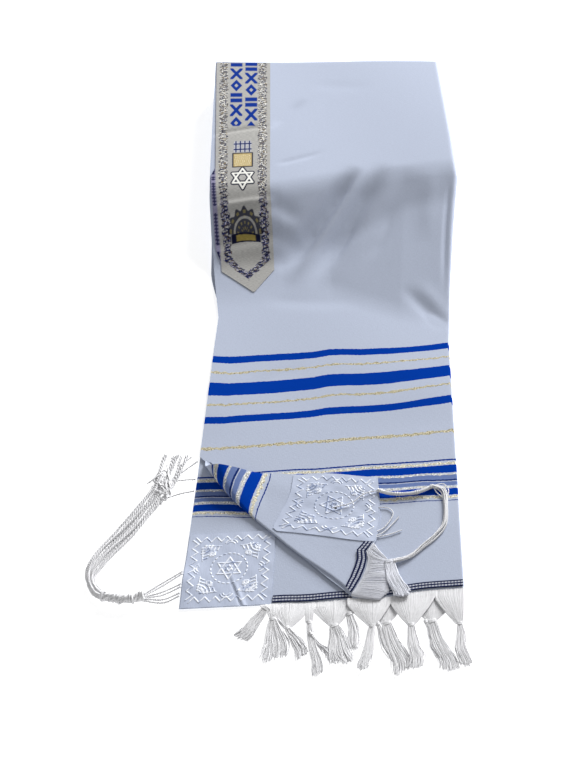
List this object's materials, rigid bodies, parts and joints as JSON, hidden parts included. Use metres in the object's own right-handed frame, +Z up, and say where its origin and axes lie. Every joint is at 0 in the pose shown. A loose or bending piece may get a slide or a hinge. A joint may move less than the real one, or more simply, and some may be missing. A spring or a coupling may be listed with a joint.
{
  "type": "prayer shawl",
  "caption": "Fringed prayer shawl folded lengthwise and laid flat, with a corner turned back over it and the rest of its length folded up beneath the upper part.",
  "frame": {"origin": "middle of the part's footprint, on the surface it lies on", "axes": "+X from the neck edge towards the lengthwise fold, +Y from the fringed hem to the back of the folded pile, +Z up"},
  "size_m": [0.452, 1.1694, 0.058],
  "materials": {
    "cloth": "matt woven cloth, white with woven stripes",
    "hidden": "matt woven cloth, folded",
    "satin": "satin with a raised thread pattern",
    "neckband": "satin ribbon with a metallic weave",
    "braid": "flat woven braid",
    "fringe": "loose twisted yarn"
  },
  "bodies": {
    "root": {"lower_layer": "cloth", "upper_layer": "cloth", "turned_corner": "cloth", "folded_rest": "hidden", "corner_patch_lower": "satin", "corner_patch_turned": "satin", "hem_braid_lower": "braid", "hem_braid_upper": "braid", "hem_braid_turned": "braid", "neckband": "neckband", "fringe_lower": "fringe", "fringe_upper": "fringe", "fringe_turned": "fringe", "tzitzit_lower": "fringe", "tzitzit_turned": "fringe"}
  },
  "joints": []
}
